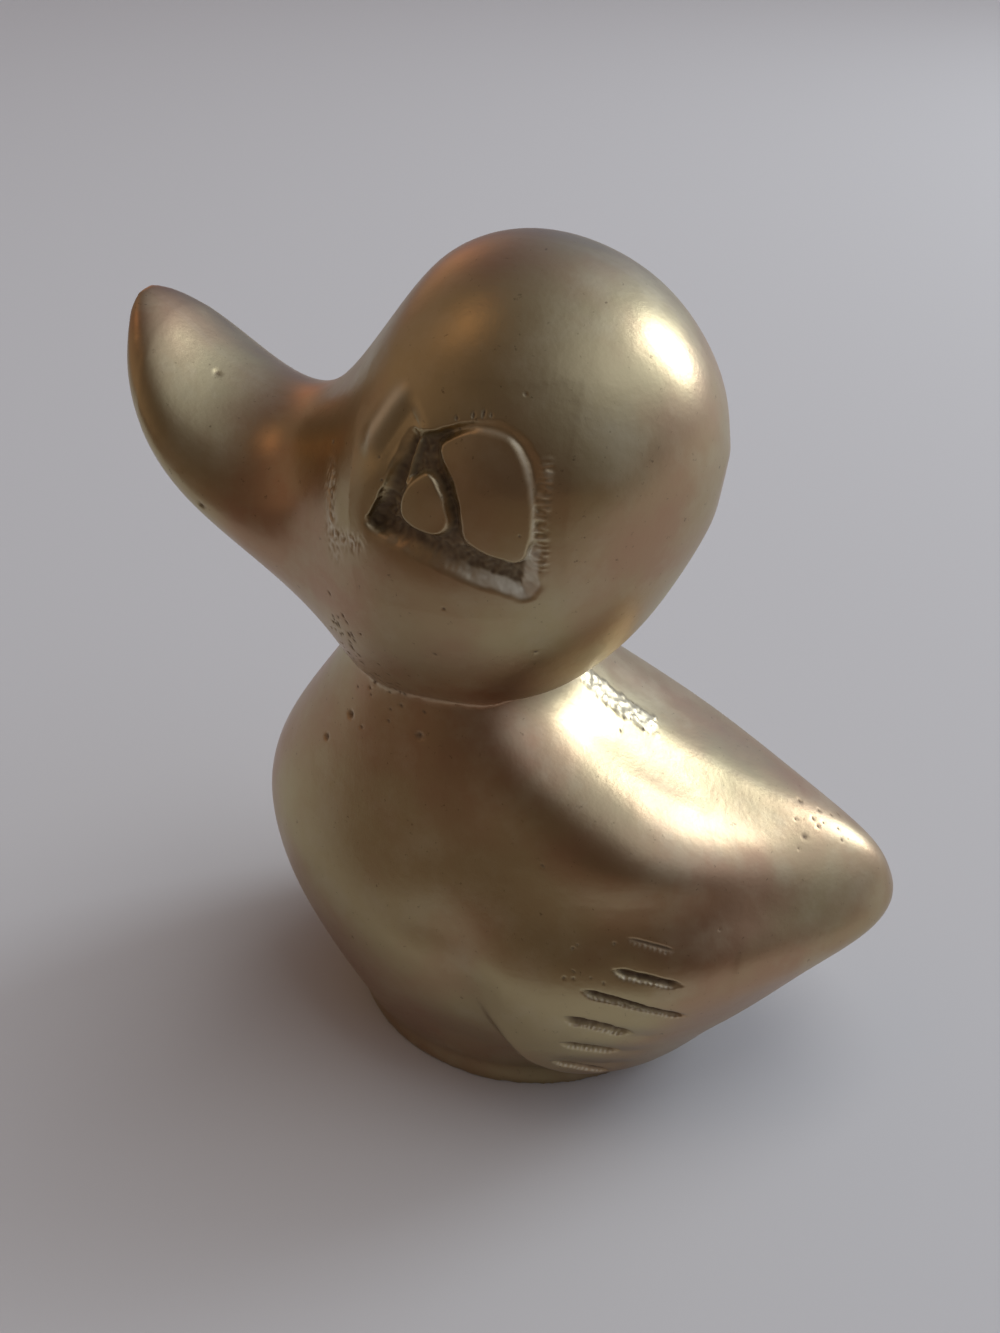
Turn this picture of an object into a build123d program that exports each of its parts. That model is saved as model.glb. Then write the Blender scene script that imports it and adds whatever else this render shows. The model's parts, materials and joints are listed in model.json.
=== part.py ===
from build123d import *
import os
from math import cos, pi, radians, sin

# Hollow cast duckling, made of half shells that are brazed together on the middle plane and at the neck.
# The origin is the middle of the flat base, the bill points to -Y, the tail to +Y and the left side is +X.
# Sizes are in millimetres.

# Base and breast
BASE_FRONT = 20.0
BASE_BACK = 20.5
BASE_HALF_WIDTH = 19.0
BREAST_REACH = 29.2
BREAST_HEIGHT = 24.0

# Flanks, shoulders and the ridge of the back; at the nape the body steps in under the rim of the head
FLANK_HALF_WIDTH = 21.0
FLANK_HEIGHT = 17.0
SHOULDER_HALF_WIDTH = 15.6
BACK_REACH = 16.0
BACK_HEIGHT = 35.0
RUMP_REACH = 36.0
RUMP_HEIGHT = 26.0
NAPE_REACH = 5.2
NAPE_HEIGHT = 42.0
NAPE_STEP = 2.0

# Tail
TAIL_REACH = 38.6
TAIL_HEIGHT = 20.5
TAIL_DEPTH = 3.5
TAIL_UNDERCUT = 2.5

# How round the body is behind: 1 is half an ellipse seen from above, 0 runs out to a sharp ridge
BELLY_ROUNDING = 0.8
TAIL_ROUNDING = 0.7
RUMP_ROUNDING = 0.45
BACK_ROUNDING = 0.25

# How far the width is carried back before it runs in to the ridge, at the rump and at the back
RUMP_BULGE = 1.7
BACK_BULGE = 5.5

# Swelling of the folded wing on each flank
WING_SWELL = 1.8
WING_Y = 13.0
WING_HEIGHT = 16.0
WING_HALF_LENGTH = 17.0
WING_HALF_HEIGHT = 13.0

# Neck joint
NECK_HEIGHT = 45.1
NECK_RADIUS = 11.9
NECK_Y = -6.2

# Head, a ball whose chin is drawn down to the neck; its middle is placed from the neck joint
HEAD_RADIUS = 18.3
HEAD_RISE = 20.4
HEAD_SETBACK = 4.7
CHIN_LEAN = 4.3
CHIN_FULLNESS = 2.1
THROAT_FULLNESS = 2.05

# Share of a bill slice that lies under its widest place, and the fullness of a plain oval
ROOT_WAIST = 0.53
BILL_WAIST = 0.5
OVAL = 2.0

# Slices of face and bill, placed from the middle of the head: how far ahead the top lies, how high it is,
# how far down the underside is, how far ahead of the top it lies, and half the width
BROW_REACH = 7.0
BROW_TOP = 16.0
BROW_UNDER = -26.0
BROW_LEAN = 2.8
BROW_HALF_WIDTH = 17.2
CHEEK_REACH = 11.7
CHEEK_TOP = 10.5
CHEEK_UNDER = -24.2
CHEEK_LEAN = 2.2
CHEEK_HALF_WIDTH = 15.0
ROOT_REACH = 16.3
ROOT_TOP = 5.1
ROOT_UNDER = -19.0
ROOT_LEAN = 1.7
ROOT_HALF_WIDTH = 12.4
SADDLE_REACH = 20.5
SADDLE_TOP = 2.8
SADDLE_UNDER = -13.6
SADDLE_LEAN = 3.4
SADDLE_HALF_WIDTH = 10.8
BILL_REACH = 25.7
BILL_TOP = 3.9
BILL_UNDER = -7.9
BILL_LEAN = 3.9
BILL_HALF_WIDTH = 10.6
SCOOP_REACH = 30.4
SCOOP_TOP = 7.4
SCOOP_UNDER = -1.5
SCOOP_LEAN = 3.3
SCOOP_HALF_WIDTH = 9.2
LIP_REACH = 33.6
LIP_TOP = 10.3
LIP_UNDER = 4.3
LIP_LEAN = 1.9
LIP_HALF_WIDTH = 5.8
TIP_REACH = 35.5
TIP_TOP = 11.4
TIP_UNDER = 8.1
TIP_LEAN = 0.4
TIP_HALF_WIDTH = 2.2

# Casting walls
WALL = 3.0
NECK_SOLID = 8.0

# Sleeve in the neck
SLEEVE_RADIUS = 7.5
SLEEVE_WALL = 1.8
SLEEVE_DEPTH = 6.0
SLEEVE_RISE = 7.0
COLLAR_RADIUS = 9.0
COLLAR_HEIGHT = 1.2
FIT_CLEARANCE = 0.1

# Braze metal in the seams
BEAD_WIDTH = 0.8
RING_HEIGHT = 1.6
RING_DEPTH = 1.0

# Carved eye, placed from the middle of the head
EYE_FRONT_TOP_Y = -5.1
EYE_FRONT_TOP_Z = 7.7
EYE_FRONT_LOW_Y = -7.7
EYE_FRONT_LOW_Z = 0.1
EYE_BACK_LOW_Y = 5.4
EYE_BACK_LOW_Z = -3.8
EYE_BACK_Y = 6.1
EYE_BACK_Z = 2.0
EYE_TOP_Y = 1.0
EYE_TOP_Z = 8.8
EYE_ARCH_Y = -2.6
EYE_ARCH_Z = 7.6
PUPIL_HEIGHT = 6.2
PUPIL_BULGE = 2.6
PUPIL_Y = -3.0
PUPIL_Z = 0.8
GROOVE_WIDTH = 0.9
GROOVE_DEPTH = 0.6

# Feather cuts on the folded wing
CUT_COUNT = 5
CUT_PITCH = 3.5
CUT_STEP_BACK = -1.2
CUT_FIRST_Y = 12.9
CUT_FIRST_HEIGHT = 22.5
CUT_LENGTH = 7.5
CUT_SLOPE = 20.0
CUT_WIDTH = 0.8

# Smoothness of the lofts
BODY_LEVELS = 14
HEAD_TURNS = (6, 20, 34, 48, 62, 76, 90)
QUARTER_STEPS = 4
TAIL_STEPS = 5

HEAD_Y = NECK_Y + HEAD_SETBACK
HEAD_Z = NECK_HEIGHT + HEAD_RISE
NECK_SHARE = 1 - (NECK_RADIUS / HEAD_RADIUS) ** CHIN_FULLNESS
CHIN_DROP = HEAD_RISE / NECK_SHARE ** (1 / CHIN_FULLNESS)
FAR = 200.0


def smooth_value(points, at):
    """Value of a smooth curve through (place, value) points that adds no humps of its own."""
    spans = list(zip(points, points[1:]))
    slopes = [(b[1] - a[1]) / (b[0] - a[0]) for a, b in spans]
    ends = [slopes[0]]
    for before, after in zip(slopes, slopes[1:]):
        turns = before * after <= 0
        ends.append(0 if turns else 2 * before * after / (before + after))
    ends.append(slopes[-1])
    index = 0
    while index < len(spans) - 1 and at > points[index + 1][0]:
        index += 1
    start, stop = spans[index]
    width = stop[0] - start[0]
    t = (at - start[0]) / width
    rise = t * t * (3 - 2 * t)
    leave = t * (1 - t) ** 2 * width * ends[index]
    arrive = t * t * (t - 1) * width * ends[index + 1]
    return start[1] * (1 - rise) + stop[1] * rise + leave + arrive


def wing_swell(y, z):
    """How far the folded wing stands out of the flank."""
    along = (y - WING_Y) / WING_HALF_LENGTH
    up = (z - WING_HEIGHT) / WING_HALF_HEIGHT
    return WING_SWELL * max(0, 1 - along**2 - up**2)


def body_outline(z, inset):
    """Half outline of the body at one height, from the breast round the flank to the back."""
    front_line = [(0, -BASE_FRONT), (BREAST_HEIGHT, -BREAST_REACH), (NECK_HEIGHT, NECK_Y - NECK_RADIUS)]
    back_line = [
        (0, BASE_BACK),
        (TAIL_HEIGHT - TAIL_DEPTH, TAIL_REACH - TAIL_UNDERCUT),
        (TAIL_HEIGHT, TAIL_REACH),
        (RUMP_HEIGHT, RUMP_REACH),
        (BACK_HEIGHT, BACK_REACH),
        (NAPE_HEIGHT, NAPE_REACH),
        (NECK_HEIGHT, NECK_Y + NECK_RADIUS - NAPE_STEP),
    ]
    side_line = [
        (0, BASE_HALF_WIDTH),
        (FLANK_HEIGHT, FLANK_HALF_WIDTH),
        (BACK_HEIGHT, SHOULDER_HALF_WIDTH),
        (NECK_HEIGHT, NECK_RADIUS),
    ]
    round_line = [
        (0, 1),
        (TAIL_HEIGHT - TAIL_DEPTH, BELLY_ROUNDING),
        (TAIL_HEIGHT, TAIL_ROUNDING),
        (RUMP_HEIGHT, RUMP_ROUNDING),
        (BACK_HEIGHT, BACK_ROUNDING),
        (NECK_HEIGHT, 1),
    ]
    bulge_line = [
        (0, RUMP_BULGE),
        (RUMP_HEIGHT, RUMP_BULGE),
        (BACK_HEIGHT, BACK_BULGE),
        (NECK_HEIGHT, BACK_BULGE),
    ]
    front = smooth_value(front_line, z) + inset
    back = smooth_value(back_line, z) - inset
    side = smooth_value(side_line, z) - inset
    middle = NECK_Y * (z / NECK_HEIGHT) ** 2
    rounding = smooth_value(round_line, z)
    bulge = smooth_value(bulge_line, z)
    points = []
    for step in range(QUARTER_STEPS + 1):
        turn = step * pi / 2 / QUARTER_STEPS
        points.append((side * sin(turn), middle + (front - middle) * cos(turn)))
    for step in range(1, TAIL_STEPS + 1):
        turn = step * pi / 2 / TAIL_STEPS
        taper = (1 - rounding) * (1 - sin(turn) ** bulge) + rounding * cos(turn)
        points.append((side * taper, middle + (back - middle) * sin(turn)))
    flank = [(x + wing_swell(y, z), y) for x, y in points[1:-1]]
    return [(0, front)] + flank + [(0, back)]


def closed_wire(points):
    """Smooth closed curve through a half outline and its mirror image, starting at the left side."""
    around = points + [(-x, y, z) for x, y, z in points[-2:0:-1]]
    around = around[QUARTER_STEPS:] + around[:QUARTER_STEPS]
    steps = [step / len(around) for step in range(len(around) + 1)]
    return Wire([Edge.make_spline([Vector(*point) for point in around], periodic=True, parameters=steps)])


def body_solid(inset=0.0, top=NECK_HEIGHT):
    """The body's outside, or a copy that lies inside it by the inset and ends at the top height."""
    wires = []
    for level in range(BODY_LEVELS + 1):
        share = level / BODY_LEVELS
        height = inset + (top - inset) * share
        outline = body_outline(NECK_HEIGHT * share, inset)
        wires.append(closed_wire([(x, y, height) for x, y in outline]))
    return Solid.make_loft(wires)


def head_slice(top_y, top_z, under_y, under_z, half_width, waist, fullness):
    """Half outline of the head in the plane through its top and underside."""
    points = []
    for step in range(2 * QUARTER_STEPS + 1):
        turn = pi / 2 - step * pi / 2 / QUARTER_STEPS
        lower = step > QUARTER_STEPS
        power = OVAL / fullness if lower else 1
        up = abs(sin(turn)) ** power
        x = half_width * abs(cos(turn)) ** power
        share = waist * (1 - up) if lower else waist + (1 - waist) * up
        points.append((x, under_y + (top_y - under_y) * share, under_z + (top_z - under_z) * share))
    points[0] = (0, top_y, top_z)
    points[-1] = (0, under_y, under_z)
    return points


def head_solid(inset=0.0, with_bill=True):
    """The head's outside, or a copy that lies inside it by the inset."""
    outlines = []
    waist = CHIN_DROP / (CHIN_DROP + HEAD_RADIUS)
    for degrees in HEAD_TURNS:
        ahead = cos(radians(degrees))
        grow = sin(radians(degrees))
        ball = HEAD_RADIUS - inset
        top_y = HEAD_Y + ball * ahead
        under_y = top_y - CHIN_LEAN * grow
        under_z = HEAD_Z - (CHIN_DROP - inset) * grow
        fullness = OVAL + (CHIN_FULLNESS - OVAL) * grow
        top_z = HEAD_Z + ball * grow
        outlines.append(head_slice(top_y, top_z, under_y, under_z, ball * grow, waist, fullness))
    face = [
        (BROW_REACH, BROW_TOP, BROW_UNDER, BROW_LEAN, BROW_HALF_WIDTH, waist, CHIN_FULLNESS),
        (CHEEK_REACH, CHEEK_TOP, CHEEK_UNDER, CHEEK_LEAN, CHEEK_HALF_WIDTH, waist, THROAT_FULLNESS),
    ]
    bill = [
        (ROOT_REACH, ROOT_TOP, ROOT_UNDER, ROOT_LEAN, ROOT_HALF_WIDTH, ROOT_WAIST, OVAL),
        (SADDLE_REACH, SADDLE_TOP, SADDLE_UNDER, SADDLE_LEAN, SADDLE_HALF_WIDTH, BILL_WAIST, OVAL),
        (BILL_REACH, BILL_TOP, BILL_UNDER, BILL_LEAN, BILL_HALF_WIDTH, BILL_WAIST, OVAL),
        (SCOOP_REACH, SCOOP_TOP, SCOOP_UNDER, SCOOP_LEAN, SCOOP_HALF_WIDTH, BILL_WAIST, OVAL),
        (LIP_REACH, LIP_TOP, LIP_UNDER, LIP_LEAN, LIP_HALF_WIDTH, BILL_WAIST, OVAL),
        (TIP_REACH - inset, TIP_TOP, TIP_UNDER, TIP_LEAN, TIP_HALF_WIDTH, BILL_WAIST, OVAL),
    ]
    for reach, top, under, lean, half_width, middle, fullness in face + (bill if with_bill else bill[:1]):
        top_y = HEAD_Y - reach
        outlines.append(
            head_slice(
                top_y,
                HEAD_Z + top - inset,
                top_y - lean,
                HEAD_Z + under + inset,
                half_width - inset,
                middle,
                fullness,
            )
        )
    return Solid.make_loft([closed_wire(points) for points in outlines])


def above(height):
    """All space above a height."""
    return Pos(0, 0, height + FAR / 2) * Box(FAR, FAR, FAR)


def at_neck(radius, bottom, top):
    """Round bar on the neck's axis between two heights, counted from the neck joint."""
    bar = Cylinder(radius, top - bottom, align=(Align.CENTER, Align.CENTER, Align.MIN))
    return Pos(0, NECK_Y, NECK_HEIGHT + bottom) * bar


def carved(face, plane, floor):
    """A flat shape pressed into the left side of a solid down to the floor solid."""
    return extrude(plane * face, FAR) - floor


def eye_grooves():
    """Slanting eye with a straight front and underside, an arched top and a rounded pupil."""
    front_top = (EYE_FRONT_TOP_Y, EYE_FRONT_TOP_Z)
    front_low = (EYE_FRONT_LOW_Y, EYE_FRONT_LOW_Z)
    back_low = (EYE_BACK_LOW_Y, EYE_BACK_LOW_Z)
    back = (EYE_BACK_Y, EYE_BACK_Z)
    top = (EYE_TOP_Y, EYE_TOP_Z)
    low = (PUPIL_Y, PUPIL_Z)
    high = (PUPIL_Y, PUPIL_Z + PUPIL_HEIGHT)
    side = (PUPIL_Y + PUPIL_BULGE, PUPIL_Z + PUPIL_HEIGHT / 2)
    lines = [
        Line(front_top, front_low),
        Line(front_low, back_low),
        ThreePointArc(back_low, back, top),
        Line(top, (EYE_ARCH_Y, EYE_ARCH_Z)),
        ThreePointArc(low, side, high),
    ]
    return [trace(line, GROOVE_WIDTH) for line in lines]


def feather_cuts():
    """Row of slanting cuts down the wing."""
    cuts = []
    for number in range(CUT_COUNT):
        place = Pos(CUT_FIRST_Y + number * CUT_STEP_BACK, CUT_FIRST_HEIGHT - number * CUT_PITCH)
        slot = Pos(CUT_LENGTH / 2, 0) * SlotOverall(CUT_LENGTH, CUT_WIDTH)
        cuts.append(place * Rot(0, 0, -CUT_SLOPE) * slot)
    return cuts


body_outside = body_solid()
head_outside = head_solid() & above(NECK_HEIGHT)
bore = at_neck(SLEEVE_RADIUS + FIT_CLEARANCE, -SLEEVE_DEPTH - WALL, NECK_SOLID)
collar_seat = at_neck(COLLAR_RADIUS + FIT_CLEARANCE, 0, COLLAR_HEIGHT + FIT_CLEARANCE)
ring_core = at_neck(NECK_RADIUS - RING_DEPTH, -RING_HEIGHT, RING_HEIGHT)
ring_groove = at_neck(FAR, -RING_HEIGHT / 2, RING_HEIGHT / 2) - ring_core
middle_slab = Box(BEAD_WIDTH, FAR, FAR)
left_side = Pos((FAR + BEAD_WIDTH) / 2, 0, 0) * Box(FAR, FAR, FAR)

# Hollow shells of body and head, still whole across the middle plane
body_cavity = body_solid(WALL, NECK_HEIGHT - SLEEVE_DEPTH)
body_shell = body_outside - body_cavity - bore - ring_groove
head_cavity = head_solid(WALL, with_bill=False) & above(NECK_HEIGHT + NECK_SOLID)
head_shell = head_outside - head_cavity - bore - collar_seat - ring_groove

# Braze that fills the seam between the halves through the whole wall
body_bead = body_shell & middle_slab
head_bead = head_shell & middle_slab

# Left halves with their carving
side_plane = Plane((0, 0, 0), x_dir=(0, 1, 0), z_dir=(1, 0, 0))
eye_plane = Plane((0, HEAD_Y, HEAD_Z), x_dir=(0, 1, 0), z_dir=(1, 0, 0))
wing_floor = body_solid(GROOVE_DEPTH)
eye_floor = Pos(0, HEAD_Y, HEAD_Z) * Sphere(HEAD_RADIUS - GROOVE_DEPTH)
body_left = body_shell & left_side
for cut in feather_cuts():
    body_left = body_left - carved(cut, side_plane, wing_floor)
head_left = head_shell & left_side
for groove in eye_grooves():
    head_left = head_left - carved(groove, eye_plane, eye_floor)

# Sleeve with its collar, and the braze ring that fills the groove round the neck
sleeve = at_neck(SLEEVE_RADIUS, -SLEEVE_DEPTH, SLEEVE_RISE) + at_neck(COLLAR_RADIUS, 0, COLLAR_HEIGHT)
sleeve = sleeve - at_neck(SLEEVE_RADIUS - SLEEVE_WALL, -SLEEVE_DEPTH, SLEEVE_RISE)
ring = (body_outside & ring_groove) + (head_outside & ring_groove)

pieces = {
    "body_left_casting": body_left,
    "body_right_casting": mirror(body_left, Plane.YZ),
    "head_left_casting": head_left,
    "head_right_casting": mirror(head_left, Plane.YZ),
    "neck_spigot": sleeve,
    "body_seam_braze": body_bead,
    "head_seam_braze": head_bead,
    "neck_braze_ring": ring,
}
os.makedirs("parts", exist_ok=True)
for name, piece in pieces.items():
    export_step(piece, f"parts/{name}.step")
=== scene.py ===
import json
import math

import bpy
import numpy as np
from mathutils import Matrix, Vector, kdtree, noise

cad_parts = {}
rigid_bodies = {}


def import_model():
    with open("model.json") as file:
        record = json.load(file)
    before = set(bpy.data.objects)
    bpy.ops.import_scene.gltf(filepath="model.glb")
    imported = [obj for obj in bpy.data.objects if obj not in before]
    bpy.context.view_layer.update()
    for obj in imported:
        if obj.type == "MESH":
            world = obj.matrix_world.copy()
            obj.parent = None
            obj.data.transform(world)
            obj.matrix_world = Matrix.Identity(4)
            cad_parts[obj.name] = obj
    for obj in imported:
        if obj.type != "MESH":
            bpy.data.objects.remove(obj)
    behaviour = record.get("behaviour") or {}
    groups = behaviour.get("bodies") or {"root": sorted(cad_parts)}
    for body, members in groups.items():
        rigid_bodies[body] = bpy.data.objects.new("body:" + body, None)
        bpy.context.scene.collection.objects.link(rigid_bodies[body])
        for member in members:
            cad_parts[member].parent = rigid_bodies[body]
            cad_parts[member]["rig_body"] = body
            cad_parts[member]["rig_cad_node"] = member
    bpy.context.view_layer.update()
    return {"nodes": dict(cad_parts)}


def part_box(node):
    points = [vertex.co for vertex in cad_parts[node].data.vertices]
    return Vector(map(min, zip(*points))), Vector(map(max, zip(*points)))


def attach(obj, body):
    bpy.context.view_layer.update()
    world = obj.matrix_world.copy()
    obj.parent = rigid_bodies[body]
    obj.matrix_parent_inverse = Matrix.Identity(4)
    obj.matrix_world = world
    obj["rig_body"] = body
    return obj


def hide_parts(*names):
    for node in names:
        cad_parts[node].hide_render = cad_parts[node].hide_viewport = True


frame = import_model()

# Places and sizes are in millimetres in the frame of the castings, only the room is in metres
MM = 0.001
NECK_LOW, NECK_HIGH = (corner.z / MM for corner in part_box("neck_braze_ring"))
SEAM_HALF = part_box("body_seam_braze")[1].x / MM
OUTER_NODES = (
    "body_left_casting",
    "body_right_casting",
    "head_left_casting",
    "head_right_casting",
    "body_seam_braze",
    "head_seam_braze",
    "neck_braze_ring",
)

# Grain of the skin: even cells all over, finer where the carving is
CELL = 0.31
SAME_POINT = 0.001
SMOOTH_STEP = 0.5
CAST_ROUNDING = 12
CARVING_ROUNDING = 110
TIP_START = -34.0
TIP_ROUNDING = 30
SAW_REACH = 0.0001
CREASE_DEGREES = 60

# Corners of drawn paths and outlines are cut twice, a quarter of the way along each side
CORNER_TURNS = 2
CORNER_CUT = 0.25

# Zones on both sides: low and high (y, z) corner and least distance from the middle plane
EYE_ZONE = ((-11.6, 58.5), (6.2, 77.2), 9.0)
ROOT_ZONE = ((-16.8, 58.5), (-11.6, 71.5), 9.0)
WING_ZONE = ((3.0, 1.5), (24.0, 28.0), 11.0)
MARKS_ZONE = ((-16.4, 59.0), (-8.5, 71.0), 10.0)
EYE_FINER = 2
ROOT_FINER = 1
WING_FINER = 1

# Unevenness of the hand: coarse and fine noise per millimetre, and a shift that parts the two
HAND_GRAIN = (0.9, 2.6, 37.0)

# Carved eye on the side of the head, as (y, z) outlines: a sunk field with two islands left standing in it
EYE_FIELD = (
    (-6.4, 73.5),
    (-7.5, 70.5),
    (-8.4, 68.1),
    (-9.1, 66.6),
    (-10.0, 65.6),
    (-8.8, 64.6),
    (-5.0, 63.7),
    (-1.0, 62.0),
    (1.4, 61.2),
    (3.4, 60.1),
    (4.3, 61.0),
    (4.5, 64.0),
    (4.6, 68.0),
    (4.2, 71.5),
    (3.0, 73.5),
    (0.8, 74.8),
    (-1.5, 74.6),
    (-3.6, 73.7),
    (-5.4, 73.3),
)
EYEBALL = (
    (-4.1, 72.8),
    (-1.7, 74.2),
    (0.6, 74.0),
    (2.0, 73.6),
    (3.2, 71.6),
    (3.8, 69.0),
    (3.9, 66.5),
    (3.4, 63.6),
    (1.0, 64.3),
    (-1.4, 65.6),
    (-1.7, 68.0),
    (-2.3, 70.3),
)
PUPIL = (
    (-6.4, 69.4),
    (-5.2, 70.6),
    (-4.1, 71.2),
    (-3.0, 69.7),
    (-2.4, 67.2),
    (-3.2, 65.7),
    (-5.4, 66.0),
    (-6.8, 67.1),
)

# Depth of the field: deep in its lower trench (by z) and its front trench (by y), shallow elsewhere
EYE_DEEP = 1.05
EYE_SHALLOW = 0.32
EYE_WAVER = 0.10
LOWER_TRENCH = (64.3, 66.3)
FRONT_TRENCH = (-2.5, -0.3)
BANK_ROUND = 0.35
BANK_SLOPE = 0.45
BANK_SLOPE_BELOW = 1.15
BANK_WAVER = 0.12
ISLAND_ROUND = 0.35
ISLAND_SLOPE = 0.55
ISLAND_WAVER = 0.08
SLIVER = ((-5.5, 72.9), (-6.0, 71.4), (-6.2, 69.9))
SLIVER_HALF = 0.25
SLIVER_RISE = 0.55
CORNER_HOLES = (((-9.1, 65.6), 0.45), ((4.0, 61.7), 0.5))
CORNER_HOLE_DEPTH = 0.25

# Dirt in the eye by depth of the cut, and painted highlights: the lit rear of the lower bank gets less dirt
# and is painted pale, and so is a line along the island rims
EYE_SOIL_DEPTH = (0.3, 0.95)
EYE_SOIL = 0.8
EYE_SOIL_WAVER = 0.3
LIT_BANK = (-4.0, 1.5)
LIT_BANK_DEPTH = (0.75, 0.95)
LIT_BANK_EDGE = (0.06, 0.25)
LIT_BANK_SHARE = 0.85
RIM_OFF = 0.08
RIM_HALF = 0.16
RIM_INSIDE = (-0.2, 0.3)
RIM_HIGHLIGHT_LEAST = 0.06
RIM_HIGHLIGHT = 0.3
RIM_WAVER = 0.35

# Row of nicks behind the eye, and scratches over its arch
NICKED_Y = (3.8, 4.3, 4.6, 5.3)
NICKED_Z = (62.5, 64.0, 71.5, 73.0)
NICK_STRETCH = (1.0, 0.45, 1.5)
NICK_GRAIN = 2.0
NICK_DEPTH = 0.14
NICK_TONE = 0.8
NICK_TONE_MOST = 0.5
ARCH_SCRATCHES = (
    ((-2.4, 74.4), (-2.5, 75.1)),
    ((-1.2, 74.6), (-1.2, 75.5)),
    ((-0.5, 74.7), (-0.4, 75.7)),
    ((0.2, 74.8), (0.1, 75.5)),
)
SCRATCH = dict(left=0.2, right=0.2, depth=0.12, pointed=0.4)

# Brow: a lip along a (y, z) path in front of the eye, with a shelf behind it and a painted highlight along
# the lip
BROW = ((-6.2, 76.1), (-7.4, 74.9), (-8.4, 73.4), (-9.4, 71.9), (-10.0, 70.2))
BROW_NEAR = 4.0
BROW_FADE_ABOVE = 1.6
BROW_FADE_BELOW = 2.4
BROW_SHELF = 0.4
BROW_SHELF_REACH = (-0.2, 1.0, 1.4, 3.2)
BROW_RISE = 0.3
BROW_LIP_OFF = 0.4
BROW_LIP_HALF = 0.7
BROW_HIGHLIGHT = 0.6

# Feather cuts, as paths of (y, z) on the flank, each with its width against the plain one
FEATHER_CUTS = (
    (((12.7, 22.5), (16.2, 21.7), (19.7, 20.8)), 0.9),
    (((10.2, 20.4), (15.0, 19.2), (20.5, 16.5)), 1.0),
    (((8.8, 16.8), (12.3, 15.9), (15.8, 14.0)), 1.6),
    (((8.5, 12.5), (11.6, 11.6), (14.6, 10.1)), 1.5),
    (((7.5, 8.5), (10.4, 6.9), (13.3, 4.6)), 1.0),
)
FEATHER = dict(left=0.45, right=0.7, depth=0.6, pointed=1.6, teeth=0.06)
FAINT_CUT = ((13.5, 25.2), (15.6, 24.6), (18.4, 23.7))
FAINT = dict(left=0.2, right=0.3, depth=0.15, pointed=1.2, teeth=0.06)

# How a chisel groove varies, and the teeth that the chisel leaves along its lower edge
GROOVE_NEAR = 0.8
GROOVE_WIDTH_WAVER = (0.15, 0.1)
GROOVE_DEPTH_WAVER = (0.2, 0.15)
GROOVE_POINT = 0.35
GROOVE_SOIL = 1.2
GROOVE_SOIL_EDGE = 0.15
GROOVE_SOIL_WAVER = 0.3
TOOTH_START = 0.8
TOOTH_LENGTH = 0.2
TOOTH_PITCH = 0.5
TOOTH_WAVER = 3
TOOTH_SHALLOW = 0.3
TOOTH_SHINE = 0.7

# Front and lower edge of the folded wing, where it stands over the breast and the foot
WING_EDGE = (
    (-5.2, 31.4),
    (-4.1, 28.2),
    (-2.2, 22.7),
    (-0.8, 18.7),
    (0.7, 15.0),
    (2.6, 11.4),
    (4.8, 7.9),
    (8.1, 5.2),
    (11.3, 3.8),
    (16.0, 3.2),
    (22.0, 4.4),
    (29.0, 8.0),
)
WING_LEAST_X = 9
WING_TOP = 36
FRONT_FADE = (2.0, 16.0)
TURN_TO_FOOT = (15.0, 27.0)
REAR_FADE = 14.0
WING_VALLEY = 0.7
WING_VALLEY_OFF = 1.0
WING_VALLEY_HALF = 4.0
WING_LIP = 0.8
WING_LIP_EDGE = (-0.6, 0.8)
WING_LIP_REACH = 5.0
FOOT_STEP = 0.7
FOOT_STEP_EDGE = (-0.4, 0.8)
FOOT_STEP_HEIGHT = 2.5

# Swelling along the crest of the left shoulder, which is fuller than the right one
CREST_START = (12.5, 4.0, 38.5)
CREST_END = (17.0, 21.0, 26.5)
CREST_REACH = 8.0
CREST_RISE_START = 0.8
CREST_RISE_END = 1.6
CREST_RISE_DONE = 0.6
CREST_SIDE = (2.0, 8.0)
CREST_NECK = (37.0, 44.5)

# Rough strip of filler left on the ridge behind the neck
STRIP_HALF = 1.4
STRIP_START = 4.8
STRIP_END = 13.0
STRIP_NEAR = 1
STRIP_NEAR_X = 3
STRIP_LOW = 34
STRIP_HIGH = 44
STRIP_GRAIN = (1.7, 4.0, 11.0)
STRIP_EDGE = (-0.1, 0.25)
STRIP_EDGE_WAVER = 0.25
STRIP_START_FADE = 0.8
STRIP_END_FADE = 1.2
CRUST_RISE = 0.10
CRUST_COARSE = 0.12
CRUST_FINE = 0.14
CRUST_SHINE = 0.35
CRUST_SHINE_WAVER = 0.3
BORDER_HALF = 0.22
BORDER_LEAST = 0.02
BORDER_SOIL = 0.3
BORDER_SOIL_WAVER = 0.9

# File marks where the bill meets the face: an upright line and a ledge across its lower half
MARK_LINE_MIDDLE = (-13.6, 64.0)
MARK_LINE_LEAN = -0.1
MARK_LINE_HALF = 0.6
MARK_LINE_Z = (60.0, 62.0, 66.0, 70.0)
MARK_LEDGE_MIDDLE = (-12.0, 63.3)
MARK_LEDGE_LEAN = 0.15
MARK_LEDGE_HALF = 0.8
MARK_LEDGE_Y = (-15.0, -13.5, -11.3, -9.3)
MARK_COARSE_STRETCH = (1, 1, 0.5)
MARK_COARSE_GRAIN = 1.6
MARK_FINE_STRETCH = (1, 1, 0.6)
MARK_FINE_GRAIN = 3.4
MARK_FINE_SHIFT = 5.0
MARK_DEPTH = 0.05
MARK_COARSE = 0.10
MARK_FINE = 0.12
MARK_SHINE = 0.25
MARK_SHINE_MOST = 0.8
MARK_SOIL = 1.2
MARK_SOIL_START = 0.2
MARK_SOIL_MOST = 0.6

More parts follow.
